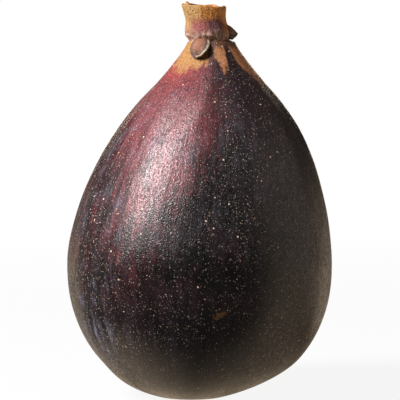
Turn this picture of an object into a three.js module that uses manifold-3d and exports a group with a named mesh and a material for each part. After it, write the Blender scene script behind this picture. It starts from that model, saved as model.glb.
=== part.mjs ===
// A fresh dark fig as it is picked: a pear-shaped fruit that stands on its eye end, and the short cut
// stalk on top of its neck, with three scale leaves at the joint.
// Millimetres, +Z up. The origin is on the surface the fig stands on, under the middle of its width.
// +X is to the right of someone who looks at the front of the fig along +Y.

import * as THREE from "three";
import { mergeVertices } from "three/addons/utils/BufferGeometryUtils.js";
import Module from "manifold-3d";

const { degToRad, lerp, smoothstep } = THREE.MathUtils;

// Driving dimensions
const FRUIT_WIDTH = 48;
const FRUIT_HEIGHT = 64.4;
const WIDEST_HEIGHT = 24.5;
const NECK_FOOT_RADIUS = 10.3;
const NECK_FOOT_HEIGHT = 56;
const NECK_WIDTH = 8.6;
const SHOULDER_DROP = 0.4;
const STALK_LENGTH = 6.2;
const STALK_WIDTH = 7.2;

// Where the fruit's axis runs: its foot lies a little left of the origin and its neck to the right
const FOOT_SHIFT = -1.5;
const NECK_SHIFT = 2.15;
const FOOT_SHIFT_ENDS = 7;
const LEAN_STARTS = 23;
const LEAN_ENDS = 60;

// The small flat ring that the fruit rests on, the heel from which its skin curves away, and the sunken
// eye inside the ring
const REST_RADIUS = 5;
const HEEL_RADIUS = 6.3;
const HEEL_HEIGHT = 0.15;
const EYE_RADIUS = 2.8;
const EYE_DEPTH = 0.9;
const EYE_SCALES = 7;
const EYE_RELIEF = 0.22;

// Lengthwise relief of the fruit: low broad swellings, and the ribs that run from neck to eye
const SWELLINGS = [
  { waves: 2, height: 0.22, phase: Math.PI / 2 },
  { waves: 3, height: 0.2, phase: Math.PI / 2 },
  { waves: 5, height: 0.16, phase: -Math.PI / 2 },
];
const RIBS = 12;
const RIB_HEIGHT = 0.14;
const RIB_TWIST = 0.5;

// The stalk bends back to the left, and its cut end drops to the right
const STALK_BASE_SHIFT = 1.75;
const STALK_TOP_SHIFT = 0.9;
const CUT_SLOPE = 0.09;
const CUT_RIM = 0.55;
const CUT_DEPTH = 0.35;
const STALK_GROOVES = 7;
const GROOVE_DEPTH = 0.06;

// Each scale leaf's margins curve in by this share of its thickness, and this share of its width is
// left at the tip, squared
const LEAF_CUPPING = 0.35;
const LEAF_TIP = 0.03;

// Clearance between the stalk with its scale leaves and the fruit
const JOINT_GAP = 0.35;

const FRUIT_SEGMENTS = 72;
const FRUIT_RINGS = 36;
const STALK_SEGMENTS = 40;

const fruitRadius = FRUIT_WIDTH / 2;
const neckRadius = NECK_WIDTH / 2;
const stalkRadius = STALK_WIDTH / 2;

const fruitMaterial = new THREE.MeshStandardMaterial({ color: 0x3a2228, roughness: 0.45, metalness: 0 });
const stalkMaterial = new THREE.MeshStandardMaterial({ color: 0xb58a55, roughness: 0.7, metalness: 0 });

const wasm = await Module();
wasm.setup();

// The side of the fruit in three smooth curves: from the heel round to the widest level, on to the foot
// of the neck, and in to the shoulder under the stalk. Between their ends the curves are steered by
// shares of the fruit's radius and height.
function sidePath() {
  const at = (radiusShare, heightShare) => [radiusShare * fruitRadius, heightShare * FRUIT_HEIGHT];
  const path = new THREE.Path();
  path.moveTo(HEEL_RADIUS, HEEL_HEIGHT);
  path.bezierCurveTo(...at(0.6, 0.035), ...at(1, 0.124), fruitRadius, WIDEST_HEIGHT);
  path.bezierCurveTo(...at(1, 0.435), ...at(0.913, 0.69), NECK_FOOT_RADIUS, NECK_FOOT_HEIGHT);
  path.bezierCurveTo(...at(0.403, 0.879), ...at(0.179, 0.98), neckRadius, FRUIT_HEIGHT - SHOULDER_DROP);
  return path;
}

// The fruit's outline from the middle of the eye, along the foot and the side, to the top of the neck.
function fruitOutline() {
  const eye = [];
  const eyeRings = 5;
  for (let i = 0; i <= eyeRings; i++) {
    const share = i / eyeRings;
    eye.push(new THREE.Vector2(share * EYE_RADIUS, EYE_DEPTH * (1 - share * share)));
  }
  const restEdge = new THREE.Vector2(REST_RADIUS, 0);
  const neckTop = [
    new THREE.Vector2(0.9 * stalkRadius, FRUIT_HEIGHT),
    new THREE.Vector2(0.5 * stalkRadius, FRUIT_HEIGHT + 0.25),
    new THREE.Vector2(0, FRUIT_HEIGHT + 0.35),
  ];
  return [...eye, restEdge, ...sidePath().getSpacedPoints(FRUIT_RINGS), ...neckTop];
}

// How far the fruit's axis lies from the origin, along X, at a height.
function axisShift(height) {
  const foot = FOOT_SHIFT * (1 - smoothstep(height, 0, FOOT_SHIFT_ENDS));
  return foot + NECK_SHIFT * smoothstep(height, LEAN_STARTS, LEAN_ENDS);
}

// How far the skin stands out from the plain turned shape, in millimetres.
function skinRelief(angle, height) {
  const share = height / FRUIT_HEIGHT;
  const middle = smoothstep(share, 0.02, 0.3) * (1 - smoothstep(share, 0.8, 0.98));
  const ribs = RIB_HEIGHT * Math.cos(RIBS * angle + RIB_TWIST * share * Math.PI);
  const swelling = SWELLINGS.reduce((sum, s) => sum + s.height * Math.cos(s.waves * angle + s.phase), 0);
  return middle * (ribs + swelling);
}

// The scales that close the eye: two rings of low lobes, which fade out at the edge of the ring.
function eyeRelief(angle, radius) {
  const share = radius / EYE_RADIUS;
  const inner = Math.exp(-(((share - 0.4) / 0.16) ** 2)) * Math.cos(EYE_SCALES * angle);
  const outer = Math.exp(-(((share - 0.8) / 0.14) ** 2)) * Math.cos(EYE_SCALES * angle + Math.PI);
  return -EYE_RELIEF * (inner + 0.5 * outer) * Math.max(1 - share ** 4, 0);
}

// Turns an outline round the Z axis, then moves each point by shape(angle, radius, height).
function turned(outline, segments, shape) {
  const geometry = new THREE.LatheGeometry(outline, segments).rotateX(Math.PI / 2);
  const position = geometry.getAttribute("position");
  const point = new THREE.Vector3();
  for (let i = 0; i < position.count; i++) {
    point.fromBufferAttribute(position, i);
    const radius = Math.hypot(point.x, point.y);
    const moved = shape(radius > 0 ? Math.atan2(point.y, point.x) : 0, radius, point.z);
    position.setXYZ(i, moved.x, moved.y, moved.z);
  }
  return geometry;
}

// The fruit, grown by a margin on every side when it is used to cut its clearance out of the stalk.
function fruitGeometry(margin = 0) {
  const outline = fruitOutline().map(({ x, y }) => new THREE.Vector2(x > 0 ? x + margin : 0, y));
  return turned(outline, FRUIT_SEGMENTS, (angle, radius, height) => {
    const inEye = radius < EYE_RADIUS && height < EYE_DEPTH + 0.1;
    const relief = inEye ? 0 : skinRelief(angle, height);
    const reach = radius + (radius > 0 ? relief : 0);
    const lift = (inEye ? eyeRelief(angle, radius) : 0) + (height > FRUIT_HEIGHT / 2 ? margin : 0);
    return new THREE.Vector3(
      axisShift(height) + reach * Math.cos(angle),
      reach * Math.sin(angle),
      height + lift,
    );
  });
}

// Where the stalk's axis lies along X, at a height.
function stalkShift(height) {
  return lerp(STALK_BASE_SHIFT, STALK_TOP_SHIFT, (height - FRUIT_HEIGHT) / STALK_LENGTH);
}

// The stalk: a swollen collar at the joint, a waist, and a cut end with a raised bark rim.
function stalkGeometry() {
  const top = FRUIT_HEIGHT + STALK_LENGTH;
  const outline = [
    [0, FRUIT_HEIGHT - 1.2],
    [0.9, FRUIT_HEIGHT - 1.2],
    [0.98, FRUIT_HEIGHT - 0.4],
    [1.06, FRUIT_HEIGHT + 0.4],
    [1.11, FRUIT_HEIGHT + 1.1],
    [1.11, FRUIT_HEIGHT + 1.8],
    [1.05, FRUIT_HEIGHT + 2.6],
    [1, FRUIT_HEIGHT + 3.4],
    [1, FRUIT_HEIGHT + 4.2],
    [1.04, FRUIT_HEIGHT + 5.1],
    [1.08, top - 0.25],
    [1.06, top],
    [1.06 - CUT_RIM / stalkRadius, top],
    [0.98 - CUT_RIM / stalkRadius, top - CUT_DEPTH],
    [0.3, top - 0.8 * CUT_DEPTH],
    [0.15, top - 1.4 * CUT_DEPTH],
    [0, top - 1.5 * CUT_DEPTH],
  ].map(([share, height]) => new THREE.Vector2(share * stalkRadius, height));
  return turned(outline, STALK_SEGMENTS, (angle, radius, height) => {
    const groove = GROOVE_DEPTH * Math.cos(STALK_GROOVES * angle) * (radius / stalkRadius);
    const x = (radius + groove) * Math.cos(angle);
    const slope = CUT_SLOPE * smoothstep(height, FRUIT_HEIGHT + 1, top);
    return new THREE.Vector3(stalkShift(height) + x, (radius + groove) * Math.sin(angle), height - slope * x);
  });
}

// One scale leaf: a cupped blade that grows out of the joint and follows a path of
// [distance from the stalk's axis, height above the joint] points, from its root to its tip. It narrows
// to a blunt point and loses the share called taper of its thickness on the way.
function scaleLeafGeometry({ angle, path, width, thickness, taper }) {
  const steps = 10;
  const across = 8;
  const spine = new THREE.SplineCurve(path.map(([out, up]) => new THREE.Vector2(out, FRUIT_HEIGHT + up)));
  const blade = new THREE.BoxGeometry(1, 1, 1, across, 1, steps);
  const position = blade.getAttribute("position");
  for (let i = 0; i < position.count; i++) {
    const along = position.getZ(i) + 0.5;
    const side = 2 * position.getX(i);
    const middle = spine.getPoint(along);
    const facing = spine.getTangent(along);
    const halfWidth = (width / 2) * Math.sqrt(1 - (1 - LEAF_TIP) * along ** 3);
    const turn = degToRad(angle) + (side * halfWidth) / middle.x;
    const proud = thickness * (position.getY(i) - LEAF_CUPPING * side * side) * (1 - taper * along);
    const reach = middle.x - facing.y * proud;
    position.setXYZ(
      i,
      STALK_BASE_SHIFT + reach * Math.cos(turn),
      reach * Math.sin(turn),
      middle.y + facing.x * proud,
    );
  }
  return blade;
}

// A closed mesh as a solid that can be joined to others and cut.
function solidOf(geometry) {
  const bare = new THREE.BufferGeometry();
  bare.setAttribute("position", geometry.getAttribute("position"));
  bare.setIndex(geometry.getIndex());
  const merged = mergeVertices(bare, 1e-3);
  return new wasm.Manifold(
    new wasm.Mesh({
      numProp: 3,
      vertProperties: merged.getAttribute("position").array,
      triVerts: new Uint32Array(merged.getIndex().array),
    }),
  );
}

// The faces of such a solid.
function geometryOf(solid) {
  const { vertProperties, triVerts } = solid.getMesh();
  const geometry = new THREE.BufferGeometry();
  geometry.setAttribute("position", new THREE.BufferAttribute(vertProperties, 3));
  geometry.setIndex(new THREE.BufferAttribute(triVerts, 1));
  geometry.computeVertexNormals();
  return geometry;
}

// The three scale leaves, about a third of a turn apart: one at the front left lies down on the neck,
// one on the right has its tip turned out, and one at the back lies down like the first.
const SCALE_LEAVES = [
  {
    angle: -110,
    path: [[2.6, 1.1], [4.4, 0.4], [5.3, -1.4], [6.7, -3.2]],
    width: 4.4,
    thickness: 1.2,
    taper: 0.35,
  },
  {
    angle: 4,
    path: [[2.8, 2.9], [3.7, 2.2], [4.4, 1.7], [5.0, 1.3]],
    width: 3.6,
    thickness: 1.5,
    taper: 0.55,
  },
  {
    angle: 112,
    path: [[2.6, 1.1], [4.4, 0.3], [5.2, -1.1], [6.2, -2.4]],
    width: 3.6,
    thickness: 1.0,
    taper: 0.3,
  },
];

// The stalk with its scale leaves fused on, cut clear of the fruit below it.
function stalkSolid() {
  const leaves = SCALE_LEAVES.map((leaf) => solidOf(scaleLeafGeometry(leaf)));
  const whole = leaves.reduce((sum, leaf) => sum.add(leaf), solidOf(stalkGeometry()));
  return whole.subtract(solidOf(fruitGeometry(JOINT_GAP)));
}

function namedMesh(name, geometry, material) {
  const mesh = new THREE.Mesh(geometry, material);
  mesh.name = name;
  return mesh;
}

const fig = new THREE.Group();
fig.add(namedMesh("fruit", fruitGeometry(), fruitMaterial));
fig.add(namedMesh("stalk", geometryOf(stalkSolid()), stalkMaterial));

export default fig;
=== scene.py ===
# %% [markdown]
# # A fresh dark fig
# The fig stands on its eye end: a teardrop of purple-black skin that is blushed crimson on the left,
# ochre where the neck meets the stalk, and dusted all over with pale pores. This lesson dresses a packed
# solid model of it, whose frame is loaded first. Everything is in metres, +Z is up, and the front of the
# fig faces -Y.

# %% Load the frame
import math

import bmesh
import bpy
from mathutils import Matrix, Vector, noise
from mathutils.geometry import interpolate_bezier


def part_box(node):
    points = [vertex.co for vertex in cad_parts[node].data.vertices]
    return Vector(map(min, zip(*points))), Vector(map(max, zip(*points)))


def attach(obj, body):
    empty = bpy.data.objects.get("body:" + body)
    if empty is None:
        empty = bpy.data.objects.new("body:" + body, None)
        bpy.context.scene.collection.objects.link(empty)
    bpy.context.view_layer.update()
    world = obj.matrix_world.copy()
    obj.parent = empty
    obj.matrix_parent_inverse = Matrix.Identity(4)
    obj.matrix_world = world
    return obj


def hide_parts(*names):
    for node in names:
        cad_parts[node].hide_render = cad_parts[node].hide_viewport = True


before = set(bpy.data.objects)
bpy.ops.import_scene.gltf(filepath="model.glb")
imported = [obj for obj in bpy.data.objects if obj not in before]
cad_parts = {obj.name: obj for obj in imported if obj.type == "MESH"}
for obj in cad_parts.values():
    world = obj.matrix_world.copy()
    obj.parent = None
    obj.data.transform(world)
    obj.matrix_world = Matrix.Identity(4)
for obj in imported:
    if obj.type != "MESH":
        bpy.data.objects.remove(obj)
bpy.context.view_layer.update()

# %% [markdown]
# ## Sizes
# A fig is measured like a pear: its width, its height, the level where it is widest, and the narrow
# neck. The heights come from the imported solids, so a change there carries over to every piece here.

# %% Sizes taken from the frame
MM = 0.001
fruit_low, fruit_high = (Vector(corner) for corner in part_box("fruit"))
stalk_high = Vector(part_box("stalk")[1])

SKIN_SWELL = 0.3 * MM
NECK_DOME = 0.35 * MM
fruit_radius = (fruit_high.x - fruit_low.x) / 2 - SKIN_SWELL
fruit_height = fruit_high.z - NECK_DOME
print(f"fruit {2000 * fruit_radius:.1f} mm wide and {1000 * fruit_height:.1f} mm high")
print(f"stalk up to {1000 * stalk_high.z:.1f} mm")

# %% [markdown]
# ## Camera and stage
# The photograph was taken from just above the horizontal with a long lens, which keeps the outline of a
# small fruit true. A short lens close up would swell the middle. The lens is long here too, and aims at
# the middle of the picture's height.

# %% Camera
CAMERA_DISTANCE = 0.501
CAMERA_ELEVATION = math.radians(5)
CAMERA_LENS = 250
AIM = Vector((0.12 * MM, 0, 35.55 * MM))


def look_from(place, target):
    """The turn that points an object's -Z axis from a place to a target."""
    return (target - place).to_track_quat("-Z", "Y").to_euler()


camera_data = bpy.data.cameras.new("camera")
camera_data.lens = CAMERA_LENS
camera_data.clip_start = 0.01
camera = bpy.data.objects.new("camera", camera_data)
towards_camera = Vector((0, -math.cos(CAMERA_ELEVATION), math.sin(CAMERA_ELEVATION)))
camera.location = AIM + CAMERA_DISTANCE * towards_camera
camera.rotation_euler = look_from(camera.location, AIM)
bpy.context.scene.collection.objects.link(camera)
bpy.context.scene.camera = camera
print(f"camera {CAMERA_DISTANCE} m away with a {CAMERA_LENS} mm lens")

# %% [markdown]
# ## Node helpers
# A material is a small program of nodes. A few helpers keep it readable: one adds a node and fills its
# sockets with numbers or with other nodes' outputs, one does a sum, one turns a value into a soft step,
# one covers a colour with another, and one measures how far away a point is. Written out node by node,
# the same material would be five times as long.

# %% Node helpers
def feed(tree, socket, value):
    """Links an output to a socket, or sets the socket's own value."""
    if isinstance(value, bpy.types.NodeSocket):
        tree.links.new(value, socket)
    else:
        socket.default_value = value


def add_node(tree, kind, settings=None, **inputs):
    """Adds a node. Inputs are named as their sockets, with _ for a space."""
    made = tree.nodes.new(kind)
    for name, value in (settings or {}).items():
        setattr(made, name, value)
    for name, value in inputs.items():
        feed(tree, made.inputs[name.replace("_", " ")], value)
    return made


def maths(tree, operation, *values):
    """The result of one sum, such as ADD or MULTIPLY, on numbers or other nodes' outputs."""
    made = add_node(tree, "ShaderNodeMath", {"operation": operation})
    for socket, value in zip(made.inputs, values):
        feed(tree, socket, value)
    return made.outputs[0]


def step(tree, value, start, end, low=0.0, high=1.0):
    """A soft step from low to high while value goes from start to end."""
    settings = {"interpolation_type": "SMOOTHSTEP"}
    made = add_node(tree, "ShaderNodeMapRange", settings, Value=value, From_Min=start, From_Max=end)
    made.inputs["To Min"].default_value = low
    made.inputs["To Max"].default_value = high
    return made.outputs[0]


def tint(tree, share, under, over):
    """The colour under, covered by the colour over to a share."""
    made = add_node(tree, "ShaderNodeMix", {"data_type": "RGBA"})
    colours = [socket for socket in made.inputs if socket.type == "RGBA"]
    for socket, value in zip((made.inputs[0], *colours), (share, under, over)):
        feed(tree, socket, value)
    return next(socket for socket in made.outputs if socket.type == "RGBA")


def distance(tree, place, middle):
    """How far a place is from a fixed point."""
    made = add_node(tree, "ShaderNodeVectorMath", {"operation": "DISTANCE"})
    feed(tree, made.inputs[0], place)
    feed(tree, made.inputs[1], middle)
    return made.outputs["Value"]


def rgb(red, green, blue):
    """An opaque colour, in the linear values that light adds up in."""
    return (red, green, blue, 1.0)


# %% [markdown]
# The background is white, but white all round would wash out a dark glossy skin. A Light Path node tells
# the camera's own rays from the light that falls on the fig. So the world, and the floor after it, are
# white to the camera alone, and dim in the fig's reflections.

# %% The light all round
WORLD_LIGHT = 0.03
WHITE = rgb(1, 1, 1)


def glow(tree, on_the_fig, to_the_camera):
    """A strength that is one thing to the camera and another in the light that falls on the fig."""
    path = add_node(tree, "ShaderNodeLightPath")
    made = add_node(tree, "ShaderNodeMapRange", Value=path.outputs["Is Camera Ray"])
    feed(tree, made.inputs["To Min"], on_the_fig)
    feed(tree, made.inputs["To Max"], to_the_camera)
    return made.outputs[0]


world = bpy.data.worlds.new("studio")
world.use_nodes = True
bpy.context.scene.world = world
world_tree = world.node_tree
background = world_tree.nodes["Background"]
background.inputs["Color"].default_value = WHITE
feed(world_tree, background.inputs["Strength"], glow(world_tree, WORLD_LIGHT, 1.0))
print("world light on the fig:", WORLD_LIGHT)

# %% [markdown]
# The floor is a wide disc that the fig stands on. Its paint is dark and dull, so it scatters hardly any
# light by itself. All the light that it gives is painted on it in the next step.

# %% The floor
FLOOR_REACH = 6.0
FLOOR_SHADE = 0.05
FLOOR_WARMTH = rgb(1.0, 0.78, 0.55)
floor_mesh = bmesh.new()
bmesh.ops.create_circle(floor_mesh, cap_ends=True, segments=64, radius=FLOOR_REACH)
floor_data = bpy.data.meshes.new("floor")
floor_mesh.to_mesh(floor_data)
floor_mesh.free()
floor = bpy.data.objects.new("floor", floor_data)
bpy.context.scene.collection.objects.link(floor)
floor_paint = bpy.data.materials.new("floor_paint")
floor_paint.use_nodes = True
floor_data.materials.append(floor_paint)
floor_tree = floor_paint.node_tree
floor_shader = floor_tree.nodes["Principled BSDF"]
floor_shader.inputs["Base Color"].default_value = rgb(FLOOR_SHADE, FLOOR_SHADE, FLOOR_SHADE)
floor_shader.inputs["Roughness"].default_value = 1.0
floor_shader.inputs["Specular IOR Level"].default_value = 0.0
print(f"floor {2 * FLOOR_REACH:.0f} m across")

# %% [markdown]
# A glossy fig mirrors the floor, and its dark lower half shows how little light comes from there. So the
# floor's glow depends on the place: dark in front, where a black card would lie, brighter behind, with a
# lit pool at the lower left and the fig's own shadow on the right. Real cards and lamps would do as well,
# but they would stand in the picture.

# %% The floor's glow
FLOOR_GLOW = 0.65
CARD_GLOW = 0.03
CARD_SLANT = 0.7
CARD_EDGE = (-0.030, -0.002)
POOL_MIDDLE = (-0.017, -0.006, 0)
POOL_CORE = 0.008
POOL_REACH = 0.027
POOL_GLOW = 0.85
SHADOW_MIDDLE = (0.036, 0.014, 0)
SHADOW_CORE = 0.008
SHADOW_REACH = 0.032
SHADOW_GLOW = 0.35
WHITE_NEAR = 0.90
WHITENING = (0.1, 0.5)
floor_place = add_node(floor_tree, "ShaderNodeTexCoord").outputs["Object"]


def floor_patch(middle, core, reach, inside, outside):
    """One strength within the core of a round patch on the floor, and another beyond its reach."""
    return step(floor_tree, distance(floor_tree, floor_place, middle), core, reach, inside, outside)


floor_parts = add_node(floor_tree, "ShaderNodeSeparateXYZ", Vector=floor_place).outputs
slanted = maths(floor_tree, "MULTIPLY_ADD", floor_parts["X"], CARD_SLANT, floor_parts["Y"])
behind_fig = step(floor_tree, slanted, *CARD_EDGE, CARD_GLOW, FLOOR_GLOW)
shadow = floor_patch(SHADOW_MIDDLE, SHADOW_CORE, SHADOW_REACH, SHADOW_GLOW, 1.0)
pool = floor_patch(POOL_MIDDLE, POOL_CORE, POOL_REACH, POOL_GLOW, 0.0)
floor_glow = maths(floor_tree, "MAXIMUM", maths(floor_tree, "MULTIPLY", behind_fig, shadow), pool)
whitening = floor_patch((0, 0, 0), *WHITENING, WHITE_NEAR, 1.0)
feed(floor_tree, floor_shader.inputs["Emission Strength"], glow(floor_tree, floor_glow, whitening))
seen = add_node(floor_tree, "ShaderNodeLightPath").outputs["Is Camera Ray"]
feed(floor_tree, floor_shader.inputs["Emission Color"], tint(floor_tree, seen, FLOOR_WARMTH, WHITE))
print("floor glow behind the fig:", FLOOR_GLOW, "and in front:", CARD_GLOW)

# %% [markdown]
# The long highlight on the left is the mirror image of a tall light, so that light's shape and place set
# the highlight's. Three weaker ones help it: a fill from the right, a wide one that draws the right flank
# out of the dark, and a warm one behind that rims the neck. Area lights are used, because a point of
# light would make a hard white spot.

# %% Lights
def soft_box(name, azimuth, elevation, away, size, power, colour=(1, 1, 1)):
    """An area light aimed at the fig. Azimuth 0 is the camera's side, and -90 is the left."""
    data = bpy.data.lights.new(name, "AREA")
    data.shape = "RECTANGLE"
    data.size, data.size_y = size
    data.energy = power
    data.color = colour
    light = bpy.data.objects.new(name, data)
    around, up = math.radians(azimuth), math.radians(elevation)
    side = Vector((math.sin(around) * math.cos(up), -math.cos(around) * math.cos(up), math.sin(up)))
    light.location = AIM + away * side
    light.rotation_euler = look_from(light.location, AIM)
    light.visible_camera = False
    bpy.context.scene.collection.objects.link(light)
    print(f"{name}: {power} W")


FILL_TINT = (1.0, 0.88, 0.80)
SIDE_TINT = (1.0, 0.86, 0.78)
BACK_TINT = (1.0, 0.84, 0.62)
soft_box("key_light", -61, 40, away=0.6, size=(0.17, 0.34), power=10.0)
soft_box("fill_light", 60, 30, away=0.7, size=(0.3, 0.3), power=0.40, colour=FILL_TINT)
soft_box("side_light", 95, 15, away=0.7, size=(0.4, 0.5), power=0.58, colour=SIDE_TINT)
soft_box("back_light", 180, 10, away=0.8, size=(0.4, 0.3), power=1.6, colour=BACK_TINT)
bpy.context.scene.view_settings.view_transform = "Standard"

# %% [markdown]
# ## The body of the fruit
# A fig is close to a turned shape, so its outline is drawn once, from the eye at the bottom to the
# shoulder under the stalk, and spun round the Z axis. Spinning gives even rings and lengthwise lines,
# which the ribs and streaks of a fig follow. A subdivided cage would need every rib pulled by hand.

# %% The outline
REST_RADIUS = 5 * MM
HEEL = Vector((6.3, 0.15)) * MM
WIDEST_HEIGHT = 24.5 * MM
NECK_FOOT = Vector((10.3, 56)) * MM
NECK_RADIUS = 4.3 * MM
SHOULDER_DROP = 0.4 * MM
EYE_RADIUS = 2.8 * MM
EYE_DEPTH = 0.9 * MM
EYE_STEPS = 14


def share_point(radius_share, height_share):
    """A place on the outline, as shares of the fruit's radius and height."""
    return Vector((radius_share * fruit_radius, height_share * fruit_height))


def fruit_outline(rings):
    """Points of radius and height from the middle of the eye to the middle of the neck's top."""
    widest = Vector((fruit_radius, WIDEST_HEIGHT))
    shoulder = Vector((NECK_RADIUS, fruit_height - SHOULDER_DROP))
    # Each curve's start, the two handles that steer it, its end, and its share of the rings
    curves = (
        (HEEL, share_point(0.6, 0.035), share_point(1, 0.124), widest, 0.42),
        (widest, share_point(1, 0.435), share_point(0.913, 0.69), NECK_FOOT, 0.42),
        (NECK_FOOT, share_point(0.403, 0.879), share_point(0.179, 0.98), shoulder, 0.16),
    )
    eye = [
        Vector((share * EYE_RADIUS, EYE_DEPTH * (1 - share * share)))
        for share in (i / EYE_STEPS for i in range(EYE_STEPS + 1))
    ]
    ring = [Vector((REST_RADIUS * share + EYE_RADIUS * (1 - share), 0)) for share in (0.33, 0.67, 1)]
    side = []
    for *curve, ring_share in curves:
        side += interpolate_bezier(*curve, int(rings * ring_share))[:-1]
    top = [shoulder, Vector((0.75 * NECK_RADIUS, fruit_height)), Vector((0, fruit_high.z))]
    return eye + ring + side + top


FRUIT_RINGS = 170
outline = fruit_outline(FRUIT_RINGS)
print("the fruit's outline:", len(outline), "points")

# %% [markdown]
# A spin turns a line round an axis and joins each step to the one before. A full turn ends where it
# began, so its last step is merged with its first, and the points that meet on the axis become one.
# The normals are worked out again at the end, because a spin can leave a shape inside out.

# %% Spinning an outline
def spun(outline, steps):
    """A closed bmesh, turned round Z from an outline that starts and ends on the axis."""
    shape = bmesh.new()
    verts = [shape.verts.new((point.x, 0, point.y)) for point in outline]
    edges = [shape.edges.new(pair) for pair in zip(verts, verts[1:])]
    bmesh.ops.spin(
        shape,
        geom=verts + edges,
        cent=(0, 0, 0),
        axis=(0, 0, 1),
        angle=2 * math.pi,
        steps=steps,
        use_merge=True,
    )
    bmesh.ops.remove_doubles(shape, verts=shape.verts, dist=0.001 * MM)
    bmesh.ops.recalc_face_normals(shape, faces=shape.faces)
    return shape


FRUIT_STEPS = 288
fruit_shape = spun(outline, FRUIT_STEPS)
print("fruit:", len(fruit_shape.verts), "points,", len(fruit_shape.faces), "faces")

# %% [markdown]
# Patterns on a fig follow its skin: they run from neck to eye and close up towards both ends. So the
# skin gets a map of its own while the shape is still a plain turned one. Across the map is the turn,
# with the front in the middle, and up the map is the height.

# %% The skin's map
def facing(place):
    """The turn of a place round Z in radians: 0 at the front, positive to the right."""
    return math.atan2(place.x, -place.y)


def map_turned_shape(shape, name, across_and_up):
    """Writes a UV map from across_and_up(turn, place), with each face kept on one side of the seam."""
    layer = shape.loops.layers.uv.new(name)
    for face in shape.faces:
        middle = facing(face.calc_center_median())
        for loop in face.loops:
            place = loop.vert.co
            turn = facing(place) if math.hypot(place.x, place.y) > 0.01 * MM else middle
            turn += 2 * math.pi * round((middle - turn) / (2 * math.pi))
            loop[layer].uv = across_and_up(turn, place)


def skin_place(turn, place):
    """The turn as a share of a full one, and the height as a share of the fruit's."""
    return 0.5 + turn / (2 * math.pi), place.z / fruit_height


map_turned_shape(fruit_shape, "skin", skin_place)
print("maps on the fruit:", fruit_shape.loops.layers.uv.keys())

# %% [markdown]
# Now the turned shape becomes a grown one. Its foot sits a little to the left and its neck leans to the
# right. A lattice could bend it as well, but two soft steps along the height say where each bend starts
# and ends.

# %% The lean of the fruit
FOOT_SHIFT = -1.5 * MM
NECK_SHIFT = 2.15 * MM
FOOT_SHIFT_ENDS = 7 * MM
LEAN_STARTS = 23 * MM
LEAN_ENDS = 60 * MM


def soft_step(value, start, end):
    """A soft step from 0 to 1 while a value goes from start to end."""
    share = min(max((value - start) / (end - start), 0), 1)
    return share * share * (3 - 2 * share)


def axis_shift(height):
    """How far the fruit's axis lies to the right of the origin at a height."""
    foot = FOOT_SHIFT * (1 - soft_step(height, 0, FOOT_SHIFT_ENDS))
    return foot + NECK_SHIFT * soft_step(height, LEAN_STARTS, LEAN_ENDS)


print(f"the neck leans {1000 * axis_shift(fruit_height):.2f} mm to the right")

# %% [markdown]
# Low ribs run from end to end, broad swellings lie under them, and one stronger ridge comes down the
# front from the neck: it cuts the highlight off on its right. The skin is pushed out by a sum of waves,
# which costs nothing and can be tuned one wave at a time. A swelling is a number of waves round the
# fruit, a height in millimetres and the angle at which it starts.

# %% The relief of the skin
SWELLINGS = ((2, 0.22, 1.57), (3, 0.20, 1.57), (5, 0.16, -1.57))
RIBS = 12
RIB_HEIGHT = 0.14
RIB_TWIST = 0.5
RIDGE_FOOT_TURN = math.radians(-20)
RIDGE_WIDTH = math.radians(14)
RIDGE_HEIGHT = 0.55
DENT_SIZE = 7 * MM
DENT_DEPTH = 0.10


def skin_relief(place):
    """How far the skin stands out from the turned shape at a place, in millimetres."""
    angle, share = math.atan2(place.y, place.x), place.z / fruit_height
    middle = soft_step(share, 0.02, 0.3) * (1 - soft_step(share, 0.8, 0.98))
    ribs = RIB_HEIGHT * math.cos(RIBS * angle + RIB_TWIST * share * math.pi)
    swelling = sum(height * math.cos(waves * angle + phase) for waves, height, phase in SWELLINGS)
    ridge_turn = RIDGE_FOOT_TURN * (1 - soft_step(share, 0.66, 0.92))
    off_ridge = (facing(place) - ridge_turn) / RIDGE_WIDTH
    on_ridge = soft_step(share, 0.30, 0.52) * (1 - soft_step(share, 0.86, 0.97))
    ridge = RIDGE_HEIGHT * math.exp(-abs(off_ridge) ** 1.5) * on_ridge
    dents = DENT_DEPTH * noise.noise(place / DENT_SIZE)
    return middle * (ribs + swelling + dents) + ridge


# %% [markdown]
# The eye in the foot is closed by scales that overlap like a bud's. They are a few tenths of a
# millimetre high, so two rings of lobes in the surface do for them. Then every point of the fruit is
# moved: up or down in the eye, in or out on the skin, and sideways with the lean.

# %% The scales of the eye, and the grown shape
EYE_SCALES = 7
EYE_RELIEF = 0.22


def eye_relief(place):
    """How far the scales of the eye stand down into its opening, in millimetres."""
    share, angle = math.hypot(place.x, place.y) / EYE_RADIUS, math.atan2(place.y, place.x)
    inner = math.exp(-(((share - 0.4) / 0.16) ** 2)) * math.cos(EYE_SCALES * angle)
    outer = math.exp(-(((share - 0.8) / 0.14) ** 2)) * math.cos(EYE_SCALES * angle + math.pi)
    return EYE_RELIEF * (inner + 0.5 * outer) * max(1 - share**4, 0)


for vert in fruit_shape.verts:
    flat_place = vert.co.copy()
    radius = math.hypot(flat_place.x, flat_place.y)
    in_eye = radius < 0.999 * EYE_RADIUS and flat_place.z < EYE_DEPTH + 0.1 * MM
    if in_eye:
        vert.co.z -= eye_relief(flat_place) * MM
    elif radius > 0:
        grown = 1 + skin_relief(flat_place) * MM / radius
        vert.co.x, vert.co.y = flat_place.x * grown, flat_place.y * grown
    vert.co.x += axis_shift(flat_place.z)
grown_width = max(vert.co.x for vert in fruit_shape.verts) - min(vert.co.x for vert in fruit_shape.verts)
print(f"grown fruit {1000 * grown_width:.1f} mm wide")

# %% [markdown]
# A finished shape becomes an object at the origin, unturned and unscaled, with its place in its mesh. So
# patterns on Object coordinates stay where they are painted. Smooth shading blends the light from face
# to face, as on skin.

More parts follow.
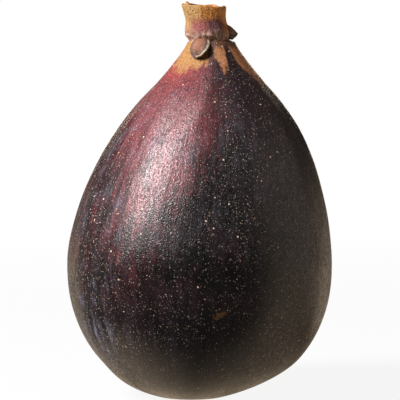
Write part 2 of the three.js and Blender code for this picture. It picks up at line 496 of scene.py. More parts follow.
# %% Turning a shape into a piece
def piece(name, shape, paint):
    """Makes an object of a bmesh, with its place in its mesh."""
    data = bpy.data.meshes.new(name)
    for face in shape.faces:
        face.smooth = True
    shape.to_mesh(data)
    shape.free()
    data.materials.append(paint)
    made = bpy.data.objects.new(name, data)
    bpy.context.scene.collection.objects.link(made)
    print(f"{name}: {len(data.polygons)} faces")
    return made


# %% [markdown]
# ## The skin
# The skin is almost black where the fig is ripest. Everything else lies over that dark ground in thin
# layers: a crimson blush on the left, ochre at the neck with flames running down, a bluish bloom of
# wax, and pores. Each layer is a colour and a mask, laid over what is below it.
#
# An effect that is used more than once is a node group with named sockets. The first one draws streaks
# that run from neck to eye. It reads noise on a ring round the axis, so there is no seam where the turn
# starts again, and it reads the height more slowly than the ring, which stretches spots into streaks.

# %% Streaks that follow the growth
def new_group(name, inputs, outputs):
    """An empty node group with named sockets, and its input and output nodes."""
    group = bpy.data.node_groups.new(name, "ShaderNodeTree")
    for label, kind in inputs:
        group.interface.new_socket(label, in_out="INPUT", socket_type=kind)
    for label, kind in outputs:
        group.interface.new_socket(label, in_out="OUTPUT", socket_type=kind)
    entry = group.nodes.new("NodeGroupInput")
    leave = group.nodes.new("NodeGroupOutput")
    return group, entry.outputs, leave.inputs


NUMBER, VECTOR = "NodeSocketFloat", "NodeSocketVector"

streaks, given, result = new_group(
    "growth_streaks",
    [("Turn", NUMBER), ("Height", NUMBER), ("Fineness", NUMBER), ("Stretch", NUMBER), ("Shift", NUMBER)],
    [("Value", NUMBER)],
)
ring_place = add_node(streaks, "ShaderNodeCombineXYZ")
feed(streaks, ring_place.inputs["X"], maths(streaks, "COSINE", given["Turn"]))
feed(streaks, ring_place.inputs["Y"], maths(streaks, "SINE", given["Turn"]))
slow_height = maths(streaks, "DIVIDE", given["Height"], given["Stretch"])
feed(streaks, ring_place.inputs["Z"], maths(streaks, "ADD", slow_height, given["Shift"]))
streak_noise = add_node(
    streaks,
    "ShaderNodeTexNoise",
    Vector=ring_place.outputs[0],
    Scale=given["Fineness"],
    Detail=3.0,
    Roughness=0.6,
)
feed(streaks, result["Value"], streak_noise.outputs["Fac"])
print("node group:", streaks.name)

# %% [markdown]
# Pores are small pale points. A Voronoi texture splits space into cells round scattered points, and a dot
# is drawn round some of them. Each cell also brings a random colour, whose three channels say how large
# its dot is, whether it is kept, and which tone it takes.

# %% Pores
pores, given, result = new_group(
    "pores",
    [("Place", VECTOR), ("Fineness", NUMBER), ("Size", NUMBER), ("Share", NUMBER)],
    [("Mask", NUMBER), ("Tone", NUMBER)],
)
cells = add_node(
    pores, "ShaderNodeTexVoronoi", Vector=given["Place"], Scale=given["Fineness"], Randomness=1.0
)
draw = add_node(pores, "ShaderNodeSeparateColor", Color=cells.outputs["Color"])
reach = maths(pores, "MULTIPLY", given["Size"], step(pores, draw.outputs["Red"], 0.0, 1.0, 0.6, 1.4))
nearness = maths(pores, "DIVIDE", cells.outputs["Distance"], reach)
dot = step(pores, nearness, 1.0, 0.45)
kept = maths(pores, "LESS_THAN", draw.outputs["Green"], given["Share"])
feed(pores, result["Mask"], maths(pores, "MULTIPLY", dot, kept))
feed(pores, result["Tone"], draw.outputs["Blue"])
print("node group:", pores.name)

# %% [markdown]
# Near the stalk another colour runs down the skin in tongues, like flames upside down. A flame is
# everything above an edge that is lowest at its tip and rises on both sides as a parabola, and a noise
# value frays that edge.

# %% Flames of another colour
FLAME_RISE = 0.05
FLAME_BLUR = (-0.010, 0.012)
flame, given, result = new_group(
    "neck_flame",
    [
        ("Turn", NUMBER),
        ("Height", NUMBER),
        ("Middle", NUMBER),
        ("Half Width", NUMBER),
        ("Tip", NUMBER),
        ("Fray", NUMBER),
    ],
    [("Mask", NUMBER)],
)
off_middle = maths(flame, "ABSOLUTE", maths(flame, "SUBTRACT", given["Turn"], given["Middle"]))
across = maths(flame, "DIVIDE", off_middle, given["Half Width"])
rise = maths(flame, "MULTIPLY", maths(flame, "POWER", across, 2.0), FLAME_RISE)
edge = maths(flame, "ADD", maths(flame, "ADD", given["Tip"], rise), given["Fray"])
above_tip = maths(flame, "SUBTRACT", given["Height"], edge)
feed(flame, result["Mask"], step(flame, above_tip, *FLAME_BLUR))


def use_group(tree, group, **inputs):
    """Places a node group and fills its inputs. Returns its outputs."""
    made = add_node(tree, "ShaderNodeGroup", {"node_tree": group})
    for name, value in inputs.items():
        feed(tree, made.inputs[name.replace("_", " ")], value)
    return made.outputs


print("node group:", flame.name)

# %% [markdown]
# The rest of the skin is built up in one material. Heights are shares of the fruit's height, and turns
# are radians from the front. The helpers below read the place of the point that is being painted, so the
# bark and the scale leaves can use them as well, once they have set where their own maps are read.

# %% Reading a map
def read_map(tree, name):
    """The two numbers of a UV map: the turn in radians from the front, and the height."""
    uv = add_node(tree, "ShaderNodeUVMap", {"uv_map": name})
    parts = add_node(tree, "ShaderNodeSeparateXYZ", Vector=uv.outputs[0])
    from_front = maths(tree, "SUBTRACT", parts.outputs["X"], 0.5)
    return maths(tree, "MULTIPLY", from_front, 2 * math.pi), parts.outputs["Y"]


def new_paint(name, map_name):
    """A material with its tree, its shader, and the turn, height and place of the painted point."""
    paint = bpy.data.materials.new(name)
    paint.use_nodes = True
    tree = paint.node_tree
    place = add_node(tree, "ShaderNodeTexCoord").outputs["Object"]
    return paint, tree, tree.nodes["Principled BSDF"], *read_map(tree, map_name), place


def streak(tree, turn, height, fineness, stretch, shift=0.0):
    """Streaks of growth. Another shift gives other streaks."""
    made = use_group(
        tree, streaks, Turn=turn, Height=height, Fineness=fineness, Stretch=stretch, Shift=shift
    )
    return made["Value"]


def cloud(tree, place, size, detail=3.0, roughness=0.5, shift=0.0):
    """Soft noise whose patches are about size metres across."""
    moved = add_node(tree, "ShaderNodeVectorMath", {"operation": "ADD"})
    feed(tree, moved.inputs[0], place)
    moved.inputs[1].default_value = (shift, shift, shift)
    made = add_node(tree, "ShaderNodeTexNoise", Vector=moved.outputs[0], Scale=1 / size)
    made.inputs["Detail"].default_value = detail
    made.inputs["Roughness"].default_value = roughness
    return made.outputs["Fac"]


def product(tree, *values):
    """All the values multiplied together."""
    total = values[0]
    for value in values[1:]:
        total = maths(tree, "MULTIPLY", total, value)
    return total


def swing(tree, value, amount):
    """A noise value turned into a push of up to half the amount either way."""
    return maths(tree, "MULTIPLY", maths(tree, "SUBTRACT", value, 0.5), amount)


# %% [markdown]
# The ripest skin is near black, with plum showing through in clouds, and more of it towards the neck.
# This ground goes on first, as a painter would lay it, and everything else covers it in part.

# %% The fig's dark ground
DARK = rgb(0.0036, 0.0026, 0.0030)
PLUM = rgb(0.013, 0.0050, 0.0072)
skin, tree, shader, turn, height, place = new_paint("fig_skin", "skin")
plum_clouds = cloud(tree, place, 6 * MM, 5.0, 0.7)
ripe = maths(tree, "ADD", plum_clouds, step(tree, height, 0.66, 0.90, 0.0, 0.22))
colour = tint(tree, step(tree, ripe, 0.38, 0.68), DARK, PLUM)
print("fig_skin:", len(tree.nodes), "nodes")

# %% [markdown]
# The side that saw the sun is crimson. Its right edge starts left of the front halfway up and reaches
# the middle at the neck. A straight edge would look like a stripe, so the turn and the height are made
# ragged by streaks and clouds before they are compared with it.

# %% The edge of the blush
fine_streaks = streak(tree, turn, height, 30.0, 4.0)
broad_streaks = streak(tree, turn, height, 8.0, 2.5, 4.0)
frayed_turn = maths(tree, "ADD", turn, swing(tree, fine_streaks, 0.36))
patchy = cloud(tree, place, 2.2 * MM, 5.0, 0.75, 0.9)
ragged_turn = maths(tree, "ADD", frayed_turn, swing(tree, patchy, 0.7))
ragged_height = maths(tree, "ADD", height, swing(tree, broad_streaks, 0.35))

right_edge = step(tree, height, 0.42, 0.80, -0.39, 0.02)
blur = step(tree, height, 0.45, 0.85, 0.42, 0.55)
inside = maths(tree, "DIVIDE", maths(tree, "SUBTRACT", right_edge, ragged_turn), blur)
left_fade = step(tree, frayed_turn, -2.6, -1.7)
full_blush = product(tree, step(tree, inside, -0.5, 0.8), left_fade)

# %% [markdown]
# The blush is full on the upper half, and comes down to the lower half only as single streaks. Further
# left, where the light grazes the fig, it gives way to the dark ground as painted shade. Inside it,
# rose threads follow the finest streaks.

# %% The blush
CRIMSON = rgb(0.110, 0.012, 0.015)
ROSE = rgb(0.150, 0.056, 0.068)
upper_spread = step(tree, height, 0.54, 0.80, 0.0, 0.42)
# Painted shade: on the far left, where the light grazes, the blush gives way to the dark ground.
painted_grazing_shade = product(
    tree,
    step(tree, maths(tree, "ADD", frayed_turn, upper_spread), -0.46, -0.88, 0.0, 0.93),
    step(tree, height, 0.74, 0.90, 1.0, 0.0),
)
upper_blush = product(
    tree, full_blush, step(tree, ragged_height, 0.30, 0.72), maths(tree, "SUBTRACT", 1.0, painted_grazing_shade)
)
lower_streaks = product(
    tree,
    full_blush,
    step(tree, ragged_height, 0.22, 0.42),
    step(tree, streak(tree, turn, height, 8.0, 0.8, 9.0), 0.42, 0.68, 0.0, 0.22),
)
colour = tint(tree, lower_streaks, colour, CRIMSON)
colour = tint(tree, upper_blush, colour, CRIMSON)
rosy = product(
    tree,
    upper_blush,
    step(tree, fine_streaks, 0.36, 0.64, 0.0, 0.75),
    step(tree, height, 0.88, 0.78),
)
colour = tint(tree, rosy, colour, ROSE)
print("fig_skin with its blush:", len(tree.nodes), "nodes")

# %% [markdown]
# A bloom of wax dulls the skin in bluish patches, most on the left and low down there. It is rubbed off
# along the growth streaks, and it thins in a patch low on the front, which is painted shade: it keeps
# that dimly lit part of the fig dark. A wax that is too even would look painted, so its mask is a
# product of coarse patches and fine streaks.

# %% The bloom
BLOOM = rgb(0.082, 0.074, 0.104)
LOW_FRONT_TURN = -0.12
low_left = product(tree, step(tree, height, 0.30, 0.12, 0.0, 0.22), step(tree, turn, 0.0, -0.4))
unrubbed = maths(tree, "ADD", cloud(tree, place, 6 * MM, 6.0, 0.65, 0.3), low_left)
patches = step(tree, unrubbed, 0.46, 0.68)
rubbed = step(tree, streak(tree, turn, height, 20.0, 2.5, 5.0), 0.42, 0.66)
waxy_side = step(tree, turn, 0.2, -1.0, 0.22, 0.85)
off_front = maths(tree, "ABSOLUTE", maths(tree, "SUBTRACT", turn, LOW_FRONT_TURN))
# The patch low on the front, where less bloom is painted shade
low_front_patch = product(tree, step(tree, off_front, 0.80, 0.35), step(tree, height, 0.50, 0.36))
bloom = product(tree, patches, rubbed, waxy_side, step(tree, low_front_patch, 0.0, 1.0, 1.0, 0.15))
colour = tint(tree, bloom, colour, BLOOM)
print("fig_skin with its bloom:", len(tree.nodes), "nodes")

# %% [markdown]
# The skin is mottled at the scale of its cells, by fibres that run lengthwise and crumbs a third of a
# millimetre wide. Broader streaks, worn darker or lighter, lie over them and fade out towards the neck.
# The colour is multiplied by this mottle, which keeps the hue of whatever lies below.

# %% Mottling
fibres = streak(tree, turn, height, 75.0, 0.9, 7.0)
crumbs = cloud(tree, place, 0.30 * MM, 2.0, 0.9, 0.7)
mottle = maths(tree, "MULTIPLY", maths(tree, "ADD", fibres, crumbs), 0.5)
worn = step(tree, streak(tree, turn, height, 15.0, 1.5, 12.0), 0.38, 0.60, 0.42, 1.35)
worn_fades = step(tree, height, 0.62, 0.84, 0.0, 0.85)
worn = add_node(tree, "ShaderNodeMix", Factor=worn_fades, A=worn, B=1.0).outputs[0]
darker = add_node(tree, "ShaderNodeMix", {"data_type": "RGBA", "blend_type": "MULTIPLY"})
feed(tree, darker.inputs[0], 1.0)
mottled = [socket for socket in darker.inputs if socket.type == "RGBA"]
feed(tree, mottled[0], colour)
grey = add_node(tree, "ShaderNodeCombineColor")
for channel in grey.inputs:
    feed(tree, channel, product(tree, step(tree, mottle, 0.40, 0.60, 0.38, 1.65), worn))
feed(tree, mottled[1], grey.outputs[0])
colour = next(socket for socket in darker.outputs if socket.type == "RGBA")
print("fig_skin with its mottle:", len(tree.nodes), "nodes")

# %% [markdown]
# The neck turns ochre where it was shaded by the stalk, and the ochre runs down in flames between the
# ribs. Each flame has a middle, a half width, a tip and a colour, so the front ones can follow the
# photograph and the back ones can be made up in the same manner. The dark flame at the front is a
# painted shadow under the lifted margin of the front leaf, and the right of the joint is painted dark
# as the shade under the collar.

# %% The neck's flames
OCHRE = rgb(0.31, 0.145, 0.040)
TAWNY = rgb(0.34, 0.140, 0.055)
SCARLET = rgb(0.20, 0.016, 0.016)
FLECK_AND_SHADE_BROWN = rgb(0.060, 0.020, 0.012)
NECK_FLAMES = (
    (-0.95, 0.82, 0.895, SCARLET),
    (-0.76, 0.94, 0.920, OCHRE),
    # A painted shadow under the front leaf's lifted margin, not a flame of the skin
    (-0.02, 0.14, 0.940, FLECK_AND_SHADE_BROWN),
    (0.32, 0.17, 0.916, TAWNY),
    (1.25, 0.40, 0.880, TAWNY),
    (2.30, 0.50, 0.930, OCHRE),
    (-2.50, 0.55, 0.915, OCHRE),
)
licks = swing(tree, streak(tree, turn, height, 11.0, 9.0, 2.0), 0.07)
licks = maths(tree, "ADD", licks, swing(tree, mottle, 0.10))
licks = maths(tree, "ADD", licks, swing(tree, cloud(tree, place, 1.1 * MM, 4.0, 0.8, 0.2), 0.09))
flecks = step(tree, mottle, 0.52, 0.40, 0.0, 0.60)
for middle, half_width, tip, flame_colour in NECK_FLAMES:
    licking = use_group(
        tree, flame, Turn=turn, Height=height, Middle=middle, Half_Width=half_width, Tip=tip, Fray=licks
    )
    colour = tint(tree, licking["Mask"], colour, tint(tree, flecks, flame_colour, FLECK_AND_SHADE_BROWN))
# Painted shade under the collar, on the right of the joint
painted_joint_shade = product(tree, step(tree, height, 0.972, 0.990), step(tree, turn, -0.35, 0.05), 0.85)
colour = tint(tree, painted_joint_shade, colour, FLECK_AND_SHADE_BROWN)
print(len(NECK_FLAMES), "flames on the neck")

# %% [markdown]
# A fig's skin is never clean. This one has a small corky scar low on the front, where it rubbed against a
# twig. It is an ellipse in the map, slanted and torn by a cloud of noise.

# %% The scar
CORK = rgb(0.12, 0.060, 0.018)
SCAR_TURN = 0.16
SCAR_HEIGHT = 0.272
SCAR_HALF_WIDTH = 0.050
SCAR_HALF_HEIGHT = 0.011
SCAR_SLANT = 0.6
scar_across = maths(tree, "DIVIDE", maths(tree, "SUBTRACT", turn, SCAR_TURN), SCAR_HALF_WIDTH)
scar_up = maths(tree, "DIVIDE", maths(tree, "SUBTRACT", height, SCAR_HEIGHT), SCAR_HALF_HEIGHT)
scar_slant = maths(tree, "SUBTRACT", scar_up, maths(tree, "MULTIPLY", scar_across, SCAR_SLANT))
scar_reach = maths(
    tree, "ADD", maths(tree, "POWER", scar_across, 2.0), maths(tree, "POWER", scar_slant, 2.0)
)
scar_ragged = maths(tree, "ADD", scar_reach, swing(tree, cloud(tree, place, 0.6 * MM), 4.0))
scar = step(tree, scar_ragged, 1.4, 0.0)
colour = tint(tree, maths(tree, "MULTIPLY", scar, 0.75), colour, CORK)
print(f"scar {2000 * SCAR_HALF_WIDTH * fruit_radius:.1f} mm wide")

# %% [markdown]
# Pale pores dust the whole fig in three sizes: a haze of the finest, dust, and a few large ones. The
# haze is strongest on the left and at the foot, and weakest in the patch low on the front, where it adds
# to the painted shade. One size alone would look like a printed pattern.

# %% The pores on the skin
CHALKY_PORE = rgb(0.62, 0.52, 0.45)
PALE_PORE = rgb(0.62, 0.50, 0.42)
RUSTY_PORE = rgb(0.50, 0.30, 0.17)
HAZE_SPACING = 0.24 * MM
DUST_SPACING = 0.60 * MM
LARGE_SPACING = 1.4 * MM
haze = use_group(tree, pores, Place=place, Fineness=1 / HAZE_SPACING, Size=0.31, Share=0.75)
dusty_left = step(tree, turn, -0.55, -1.0, 0.8, 1.35)
dusty_foot = step(tree, height, 0.34, 0.20, 0.9, 1.35)
dusty = maths(tree, "MAXIMUM", dusty_left, dusty_foot)
haze_share = product(
    tree,
    haze["Mask"],
    step(tree, haze["Tone"], 0.35, 1.0, 0.04, 0.58),
    dusty,
    step(tree, low_front_patch, 0.0, 1.0, 1.0, 0.60),
)
colour = tint(tree, haze_share, colour, CHALKY_PORE)

dust = use_group(tree, pores, Place=place, Fineness=1 / DUST_SPACING, Size=0.19, Share=0.80)
large = use_group(tree, pores, Place=place, Fineness=1 / LARGE_SPACING, Size=0.115, Share=0.34)
dust_colour = tint(tree, step(tree, dust["Tone"], 0.3, 0.9), PALE_PORE, RUSTY_PORE)
faint_dust = product(tree, dust["Mask"], step(tree, dust["Tone"], 0.0, 1.0, 0.15, 0.65))
colour = tint(tree, faint_dust, colour, dust_colour)
colour = tint(tree, large["Mask"], colour, tint(tree, large["Tone"], PALE_PORE, RUSTY_PORE))
feed(tree, shader.inputs["Base Color"], colour)
print("fig_skin with its pores:", len(tree.nodes), "nodes")

# %% [markdown]
# The gloss is a thin satin: patchy, matt in the dark flecks and under wax, and polished in the patch
# low on the front. Its long highlight is broken up by the grain of the skin, a bump of under a tenth of
# a millimetre. A stronger bump would throw the light about and veil the dark lower half.

# %% The skin's gloss and grain
GRAIN_DEPTH = 0.095 * MM
rough_patches = step(tree, cloud(tree, place, 3 * MM, 3.0, 0.5, 0.5), 0.3, 0.7, 0.26, 0.34)
matt_flecks = step(tree, mottle, 0.53, 0.42, 0.0, 0.30)
neck_wax = product(tree, step(tree, height, 0.76, 0.92, 0.0, 0.45), step(tree, turn, 0.35, -0.25))
waxy = maths(tree, "ADD", maths(tree, "MULTIPLY", bloom, 0.3), neck_wax)
roughness = maths(tree, "ADD", maths(tree, "ADD", rough_patches, matt_flecks), waxy)
polish = step(tree, low_front_patch, 0.0, 1.0, 1.0, 0.62)
feed(tree, shader.inputs["Roughness"], maths(tree, "MULTIPLY", roughness, polish))
shader.inputs["IOR"].default_value = 1.48
shader.inputs["Sheen Weight"].default_value = 0.04
shader.inputs["Sheen Roughness"].default_value = 0.30
shader.inputs["Sheen Tint"].default_value = rgb(0.9, 0.7, 0.45)
grain = cloud(tree, place, 0.30 * MM, 2.0, 0.6)
relief = maths(tree, "ADD", grain, maths(tree, "MULTIPLY", fine_streaks, 0.6))
relief = product(tree, relief, step(tree, height, 0.26, 0.48, 0.30, 1.0))
bump = add_node(tree, "ShaderNodeBump", Strength=1.0, Distance=GRAIN_DEPTH, Height=relief)
feed(tree, shader.inputs["Normal"], bump.outputs[0])

# %% [markdown]
# The shape and its skin meet. The new piece rides on the imported model's one body and stands in for
# the plain fruit, which is hidden.

# %% The fruit's piece
fruit = piece("fruit_body", fruit_shape, skin)
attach(fruit, "root")
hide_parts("fruit")

# %% [markdown]
# ## The stalk
# The stalk is the stub left by the picker's knife: a swollen collar at the joint, a waist, and a cut end
# whose bark has dried into a raised rim. It too is a turned shape, this time fluted, bent to the left
# and cut aslant. A few points are enough for its outline, because a smooth line is led through them.

# %% The stalk's outline
def smooth_line(points, steps):
    """A curve that passes through all the points, with that many steps between each two."""
    line = []
    for i, (start, end) in enumerate(zip(points, points[1:])):
        before, after = points[max(i - 1, 0)], points[min(i + 2, len(points) - 1)]
        handles = start + (end - before) / 6, end - (after - start) / 6
        line += interpolate_bezier(start, *handles, end, steps + 1)[:-1]
    return line + [points[-1]]


STALK_RADIUS = 3.6 * MM
STALK_LENGTH = 6.2 * MM
STALK_STEPS = 96
ROOT_DEPTH = 1.2
# Shares of the stalk's radius, with heights above the joint and then depths below the top, in mm
BARK_PROFILE = (
    (0.90, -ROOT_DEPTH),
    (0.98, -0.4),
    (1.04, 0.3),
    (1.11, 0.9),
    (1.13, 1.7),
    (1.07, 2.5),
    (1.02, 3.3),
    (1.03, 4.2),
    (1.07, 5.1),
    (1.10, 5.8),
)
CUT_PROFILE = (
    (1.09, 0.12),
    (1.03, 0.0),
    (0.96, 0.05),
    (0.88, 0.32),
    (0.60, 0.30),
    (0.30, 0.26),
    (0.16, 0.46),
    (0.0, 0.5),
)
stalk_top = fruit_height + STALK_LENGTH
bark_points = [Vector((share * STALK_RADIUS, fruit_height + up * MM)) for share, up in BARK_PROFILE]
cut_points = [Vector((share * STALK_RADIUS, stalk_top - down * MM)) for share, down in CUT_PROFILE]
bottom = [Vector((0, fruit_height - ROOT_DEPTH * MM))]
stalk_outline = bottom + smooth_line(bark_points + cut_points, 5)
stalk_shape = spun(stalk_outline, STALK_STEPS)
print("stalk:", len(stalk_shape.verts), "points")

# %% [markdown]
# The bark's fibres follow the stalk as the streaks follow the fruit, so the bark gets the same kind of
# map, while its shape is still straight.

# %% The bark's map
def bark_place(turn, place):
    """The turn, and the height above the joint as a share of the stalk's length."""
    return 0.5 + turn / (2 * math.pi), (place.z - fruit_height) / STALK_LENGTH


map_turned_shape(stalk_shape, "bark", bark_place)
print("maps on the stalk:", stalk_shape.loops.layers.uv.keys())

# %% [markdown]
# A stalk dries unevenly. It shrinks between its fibres into grooves, its collar crumples, and its bark
# tore where it was cut, which left one splinter on the left. All of that is small, so the points of the
# turned shape are moved by waves and by noise. Noise is read on a ring, so it meets itself all round.

# %% Fluting, bending and cutting the stalk
STALK_BASE_SHIFT = 1.75 * MM
STALK_TOP_SHIFT = 0.65 * MM
STALK_GROOVES = 7
GROOVE_DEPTH = 0.06
FIBRE_DEPTH = 0.09
COLLAR_CRUMPLE = 0.35
CUT_SLOPE = 0.065
RIM_TEAR = 0.35
SPLINTER_HEIGHT = 0.55
SPLINTER_TURN = -0.9
SPLINTER_WIDTH = 0.12


def stalk_shift(height):
    """How far the stalk's axis lies to the right of the origin at a height."""
    share = min(max((height - fruit_height) / STALK_LENGTH, 0), 1)
    return STALK_BASE_SHIFT * (1 - share) + STALK_TOP_SHIFT * share


def on_ring(angle, reach, height):
    """A place in the noise, on a ring round the axis. A wider ring gives finer noise."""
    return Vector((reach * math.cos(angle), reach * math.sin(angle), height))


for vert in stalk_shape.verts:
    x, y, z = vert.co
    radius, angle = math.hypot(x, y), math.atan2(y, x)
    along_fibre = on_ring(angle, 3, z / (6 * MM))
    stringy = FIBRE_DEPTH * (noise.noise(2.2 * along_fibre) + 0.6 * noise.noise(5 * along_fibre))
    above_joint = z - fruit_height
    on_collar = soft_step(above_joint, -1 * MM, 0) * (1 - soft_step(above_joint, 1 * MM, 2.2 * MM))
    crumple = COLLAR_CRUMPLE * noise.noise(on_ring(angle, 5, z / (0.9 * MM))) * on_collar
    groove = (GROOVE_DEPTH * math.cos(STALK_GROOVES * angle) + stringy + crumple) * radius / STALK_RADIUS
    near_top = soft_step(above_joint, 1 * MM, STALK_LENGTH)
    on_rim = soft_step(radius, 0.8 * STALK_RADIUS, 0.95 * STALK_RADIUS)
    on_rim *= soft_step(z, stalk_top - 1 * MM, stalk_top)
    torn = RIM_TEAR * noise.noise(on_ring(angle, 2.5, 7)) * on_rim
    off_splinter = (facing(Vector((x, y, 0))) - SPLINTER_TURN) / SPLINTER_WIDTH
    splinter = SPLINTER_HEIGHT * math.exp(-(off_splinter**2)) * on_rim
    grown = 1 + groove * MM / max(radius, 0.1 * MM)
    vert.co = (
        stalk_shift(z) + x * grown,
        y * grown,
        z - CUT_SLOPE * near_top * x + (torn + splinter) * MM,
    )
print(f"stalk up to {1000 * max(vert.co.z for vert in stalk_shape.verts):.1f} mm")

# %% [markdown]
# Young bark is thin and takes the colour of what is under it: greenish on the left and orange on the
# right, blushed crimson and murky in a band round the waist, and dried grey-tan at the collar and along
# its fibres. The streaks are the same node group that draws the growth streaks of the skin.

# %% The bark's colours
GREENISH = rgb(0.43, 0.245, 0.080)
ORANGE = rgb(0.60, 0.225, 0.035)
BLUSHED = rgb(0.18, 0.018, 0.020)
MURKY = rgb(0.040, 0.008, 0.010)
GREY_TAN = rgb(0.40, 0.240, 0.175)
RIM_BROWN = rgb(0.20, 0.065, 0.012)
bark, tree, shader, turn, height, place = new_paint("stalk_bark", "bark")
bark_streaks = streak(tree, turn, height, 14.0, 1.6, 3.0)
crumbs = cloud(tree, place, 0.36 * MM, 2.0, 0.9)
bark_turn = maths(tree, "ADD", turn, swing(tree, crumbs, 0.8))
bark_height = maths(tree, "ADD", height, swing(tree, crumbs, 0.40))
colour = tint(tree, step(tree, bark_turn, -0.5, 0.2), GREENISH, ORANGE)
blushed = product(
    tree,
    step(tree, bark_height, 0.78, 0.45),
    step(tree, bark_turn, -1.3, -0.5, 0.0, 0.95),
    step(tree, bark_turn, 1.3, 0.7),
)
colour = tint(tree, blushed, colour, BLUSHED)
murky = product(
    tree,
    step(tree, bark_height, 0.74, 0.50),
    step(tree, bark_turn, -0.2, 0.3, 0.0, 0.85),
    step(tree, bark_turn, 1.1, 0.6),
)
colour = tint(tree, murky, colour, MURKY)
colour = tint(tree, step(tree, bark_height, 0.36, 0.14, 0.0, 0.85), colour, GREY_TAN)
colour = tint(tree, step(tree, bark_streaks, 0.55, 0.75, 0.0, 0.3), colour, GREY_TAN)
colour = tint(tree, step(tree, crumbs, 0.50, 0.38, 0.0, 0.55), colour, MURKY)
colour = tint(tree, step(tree, height, 0.955, 1.0, 0.0, 0.6), colour, RIM_BROWN)
print("stalk_bark:", len(tree.nodes), "nodes")

# %% [markdown]
# The cut end shows what a stalk is made of: a rim of bark, a ring of pale wood, and a dark spot of pith
# in the middle. The three are rings round the stalk's own axis, so they are told apart by how far a
# place is from the middle of the cut.

# %% The cut end, and the stalk's piece
CUT_WOOD = rgb(0.42, 0.200, 0.050)
PITH = rgb(0.090, 0.035, 0.012)
BARK_RELIEF = 0.18 * MM
from_axis = distance(tree, place, (stalk_shift(stalk_top), 0, stalk_top))
ring = maths(tree, "DIVIDE", from_axis, STALK_RADIUS)
wood = tint(tree, step(tree, ring, 0.74, 0.86), CUT_WOOD, RIM_BROWN)
wood = tint(tree, step(tree, ring, 0.30, 0.20), wood, PITH)
wood = tint(tree, step(tree, crumbs, 0.55, 0.35, 0.0, 0.6), wood, PITH)
colour = tint(tree, step(tree, ring, 0.97, 0.90), colour, wood)
feed(tree, shader.inputs["Base Color"], colour)
shader.inputs["Roughness"].default_value = 0.6
relief = maths(tree, "ADD", bark_streaks, crumbs)
bump = add_node(tree, "ShaderNodeBump", Strength=1.0, Distance=BARK_RELIEF, Height=relief)
feed(tree, shader.inputs["Normal"], bump.outputs[0])

stalk = piece("stalk_body", stalk_shape, bark)
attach(stalk, "root")
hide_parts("stalk")

# %% [markdown]
# ## The scale leaves
# Three dried scale leaves hug the joint. The front one is a small hood, domed like a bud, whose right
# margin has lifted off the neck. Each is a grid that is laid along a curved spine, so its length, width
# and dome stay separate numbers, and is then given a thickness.

# %% Laying a blade along a spine
LEAF_COLUMNS = 18
LEAF_ROWS = 22


def on_line(line, share):
    """The place and the direction at a share of the way along a line of even steps."""
    reach = min(max(share, 0), 1) * (len(line) - 1)
    index = min(int(reach), len(line) - 2)
    place = line[index].lerp(line[index + 1], reach - index)
    return place, (line[index + 1] - line[index]).normalized()


def scale_leaf(angle, spine, width, dome, thickness, lift=0.0, cup=0.0, point=0.5):
    """A leaf at an angle round the stalk. Its spine is given by distances out and up from the joint."""
    shape = bmesh.new()
    shape.loops.layers.uv.new("leaf")
    bmesh.ops.create_grid(shape, x_segments=LEAF_COLUMNS, y_segments=LEAF_ROWS, size=0.5, calc_uvs=True)
    line = smooth_line([Vector(pair) for pair in spine], 8)
    for vert in shape.verts:
        side, along = 2 * vert.co.x, vert.co.y + 0.5
        middle, way = on_line(line, along)
        half_width = 0.5 * width * (1 - along**4) ** point * (0.75 + 0.25 * math.sin(math.pi * along))
        turn = math.radians(angle) + side * half_width / middle.x
        # The dome is highest before the middle, and the free margin curls up more towards the tip
        raised = dome * (1 - side * side) * math.sin(math.pi * min(along * 1.15, 1)) ** 0.7
        curl = lift * soft_step(side, 0.1, 1.0) * soft_step(along, 0.25, 0.9)
        droop = cup * side * side * math.sin(math.pi * (0.10 + 0.65 * along))
        wrinkles = Vector((4 * side, 5 * along, angle))
        crinkle = (0.13 * noise.noise(wrinkles) + 0.06 * noise.noise(2.7 * wrinkles)) * (1 - along)
        proud = raised + curl - droop + crinkle
        out = middle.x - way.y * proud
        vert.co = Vector((out * math.cos(turn), out * math.sin(turn), middle.y + way.x * proud)) * MM
        vert.co += Vector((STALK_BASE_SHIFT, 0, fruit_height))
    bmesh.ops.recalc_face_normals(shape, faces=shape.faces)
    bmesh.ops.solidify(shape, geom=shape.faces[:], thickness=thickness * MM)
    bmesh.ops.recalc_face_normals(shape, faces=shape.faces)
    return shape


print("a leaf's grid:", LEAF_COLUMNS, "by", LEAF_ROWS)
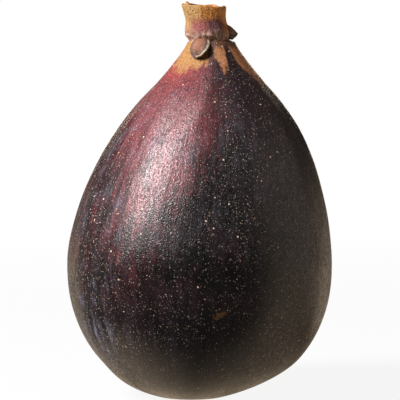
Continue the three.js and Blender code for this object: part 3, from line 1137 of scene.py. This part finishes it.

# %% [markdown]
# A dried scale is a reddish husk, greyer towards its sides and tip, with a pale papery margin where it
# tore free on the right. Its furrows and its left margin are darkened as painted shade. Its map runs
# from root to tip, and across from margin to margin, so a blotchy noise can shift where each colour
# starts.

# %% The leaves' finish
HUSK_RED = rgb(0.26, 0.100, 0.052)
HUSK_GREY = rgb(0.095, 0.055, 0.042)
PAPER = rgb(0.60, 0.48, 0.36)
HUSK_RELIEF = 0.15 * MM
husk, tree, shader, turn, height, place = new_paint("scale_leaf", "leaf")
from_spine = maths(tree, "DIVIDE", maths(tree, "ABSOLUTE", turn), math.pi)
husk_streaks = streak(tree, turn, height, 8.0, 3.0)
blotch = swing(tree, cloud(tree, place, 0.5 * MM, 4.0, 0.8), 1.6)
blotchy_side = maths(tree, "ADD", from_spine, blotch)
blotchy_height = maths(tree, "ADD", height, blotch)
blotchy_turn = maths(tree, "ADD", turn, blotch)
colour = tint(tree, step(tree, blotchy_side, 0.35, 0.70), HUSK_RED, HUSK_GREY)
colour = tint(tree, step(tree, blotchy_height, 0.65, 0.90), colour, HUSK_GREY)
# Painted shade along the left margin, as in a crease
colour = tint(tree, step(tree, turn, -2.6, -3.0, 0.0, 0.8), colour, MURKY)
colour = tint(tree, step(tree, blotchy_turn, 2.2, 2.8, 0.0, 0.95), colour, PAPER)
# Painted shade in the furrows of the bump
colour = tint(tree, step(tree, husk_streaks, 0.48, 0.30, 0.0, 0.6), colour, MURKY)
feed(tree, shader.inputs["Base Color"], colour)
shader.inputs["Roughness"].default_value = 0.62
relief = maths(tree, "ADD", husk_streaks, cloud(tree, place, 0.30 * MM, 3.0, 0.7))
bump = add_node(tree, "ShaderNodeBump", Strength=1.0, Distance=HUSK_RELIEF, Height=relief)
feed(tree, shader.inputs["Normal"], bump.outputs[0])
print("scale_leaf:", len(tree.nodes), "nodes")

# %% [markdown]
# The front leaf lies down on the neck with its right margin lifted, the right one sticks out like a
# small tongue, and the back one, which is guessed, lies down like the first. Angles are in degrees, with
# 0 at the right and -90 at the front, and lengths in millimetres.

# %% The three leaves
LEAVES = {
    "front_scale": dict(
        angle=-110,
        spine=((3.5, -0.1), (4.4, -0.6), (5.0, -1.4), (5.5, -2.3), (6.0, -3.3)),
        width=3.3,
        dome=0.8,
        thickness=0.25,
        lift=0.9,
        point=0.36,
    ),
    "right_scale": dict(
        angle=-4,
        spine=((3.1, 2.5), (3.8, 2.1), (4.4, 1.55), (4.9, 1.0)),
        width=3.4,
        dome=0.0,
        thickness=0.3,
        cup=1.6,
        point=0.7,
    ),
    "back_scale": dict(
        angle=112,
        spine=((3.4, 0.2), (4.3, -0.3), (5.0, -1.2), (5.9, -2.4)),
        width=3.6,
        dome=0.5,
        thickness=0.3,
    ),
}
for name, shape_numbers in LEAVES.items():
    leaf = piece(name, scale_leaf(**shape_numbers), husk)
    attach(leaf, "root")
    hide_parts("stalk")
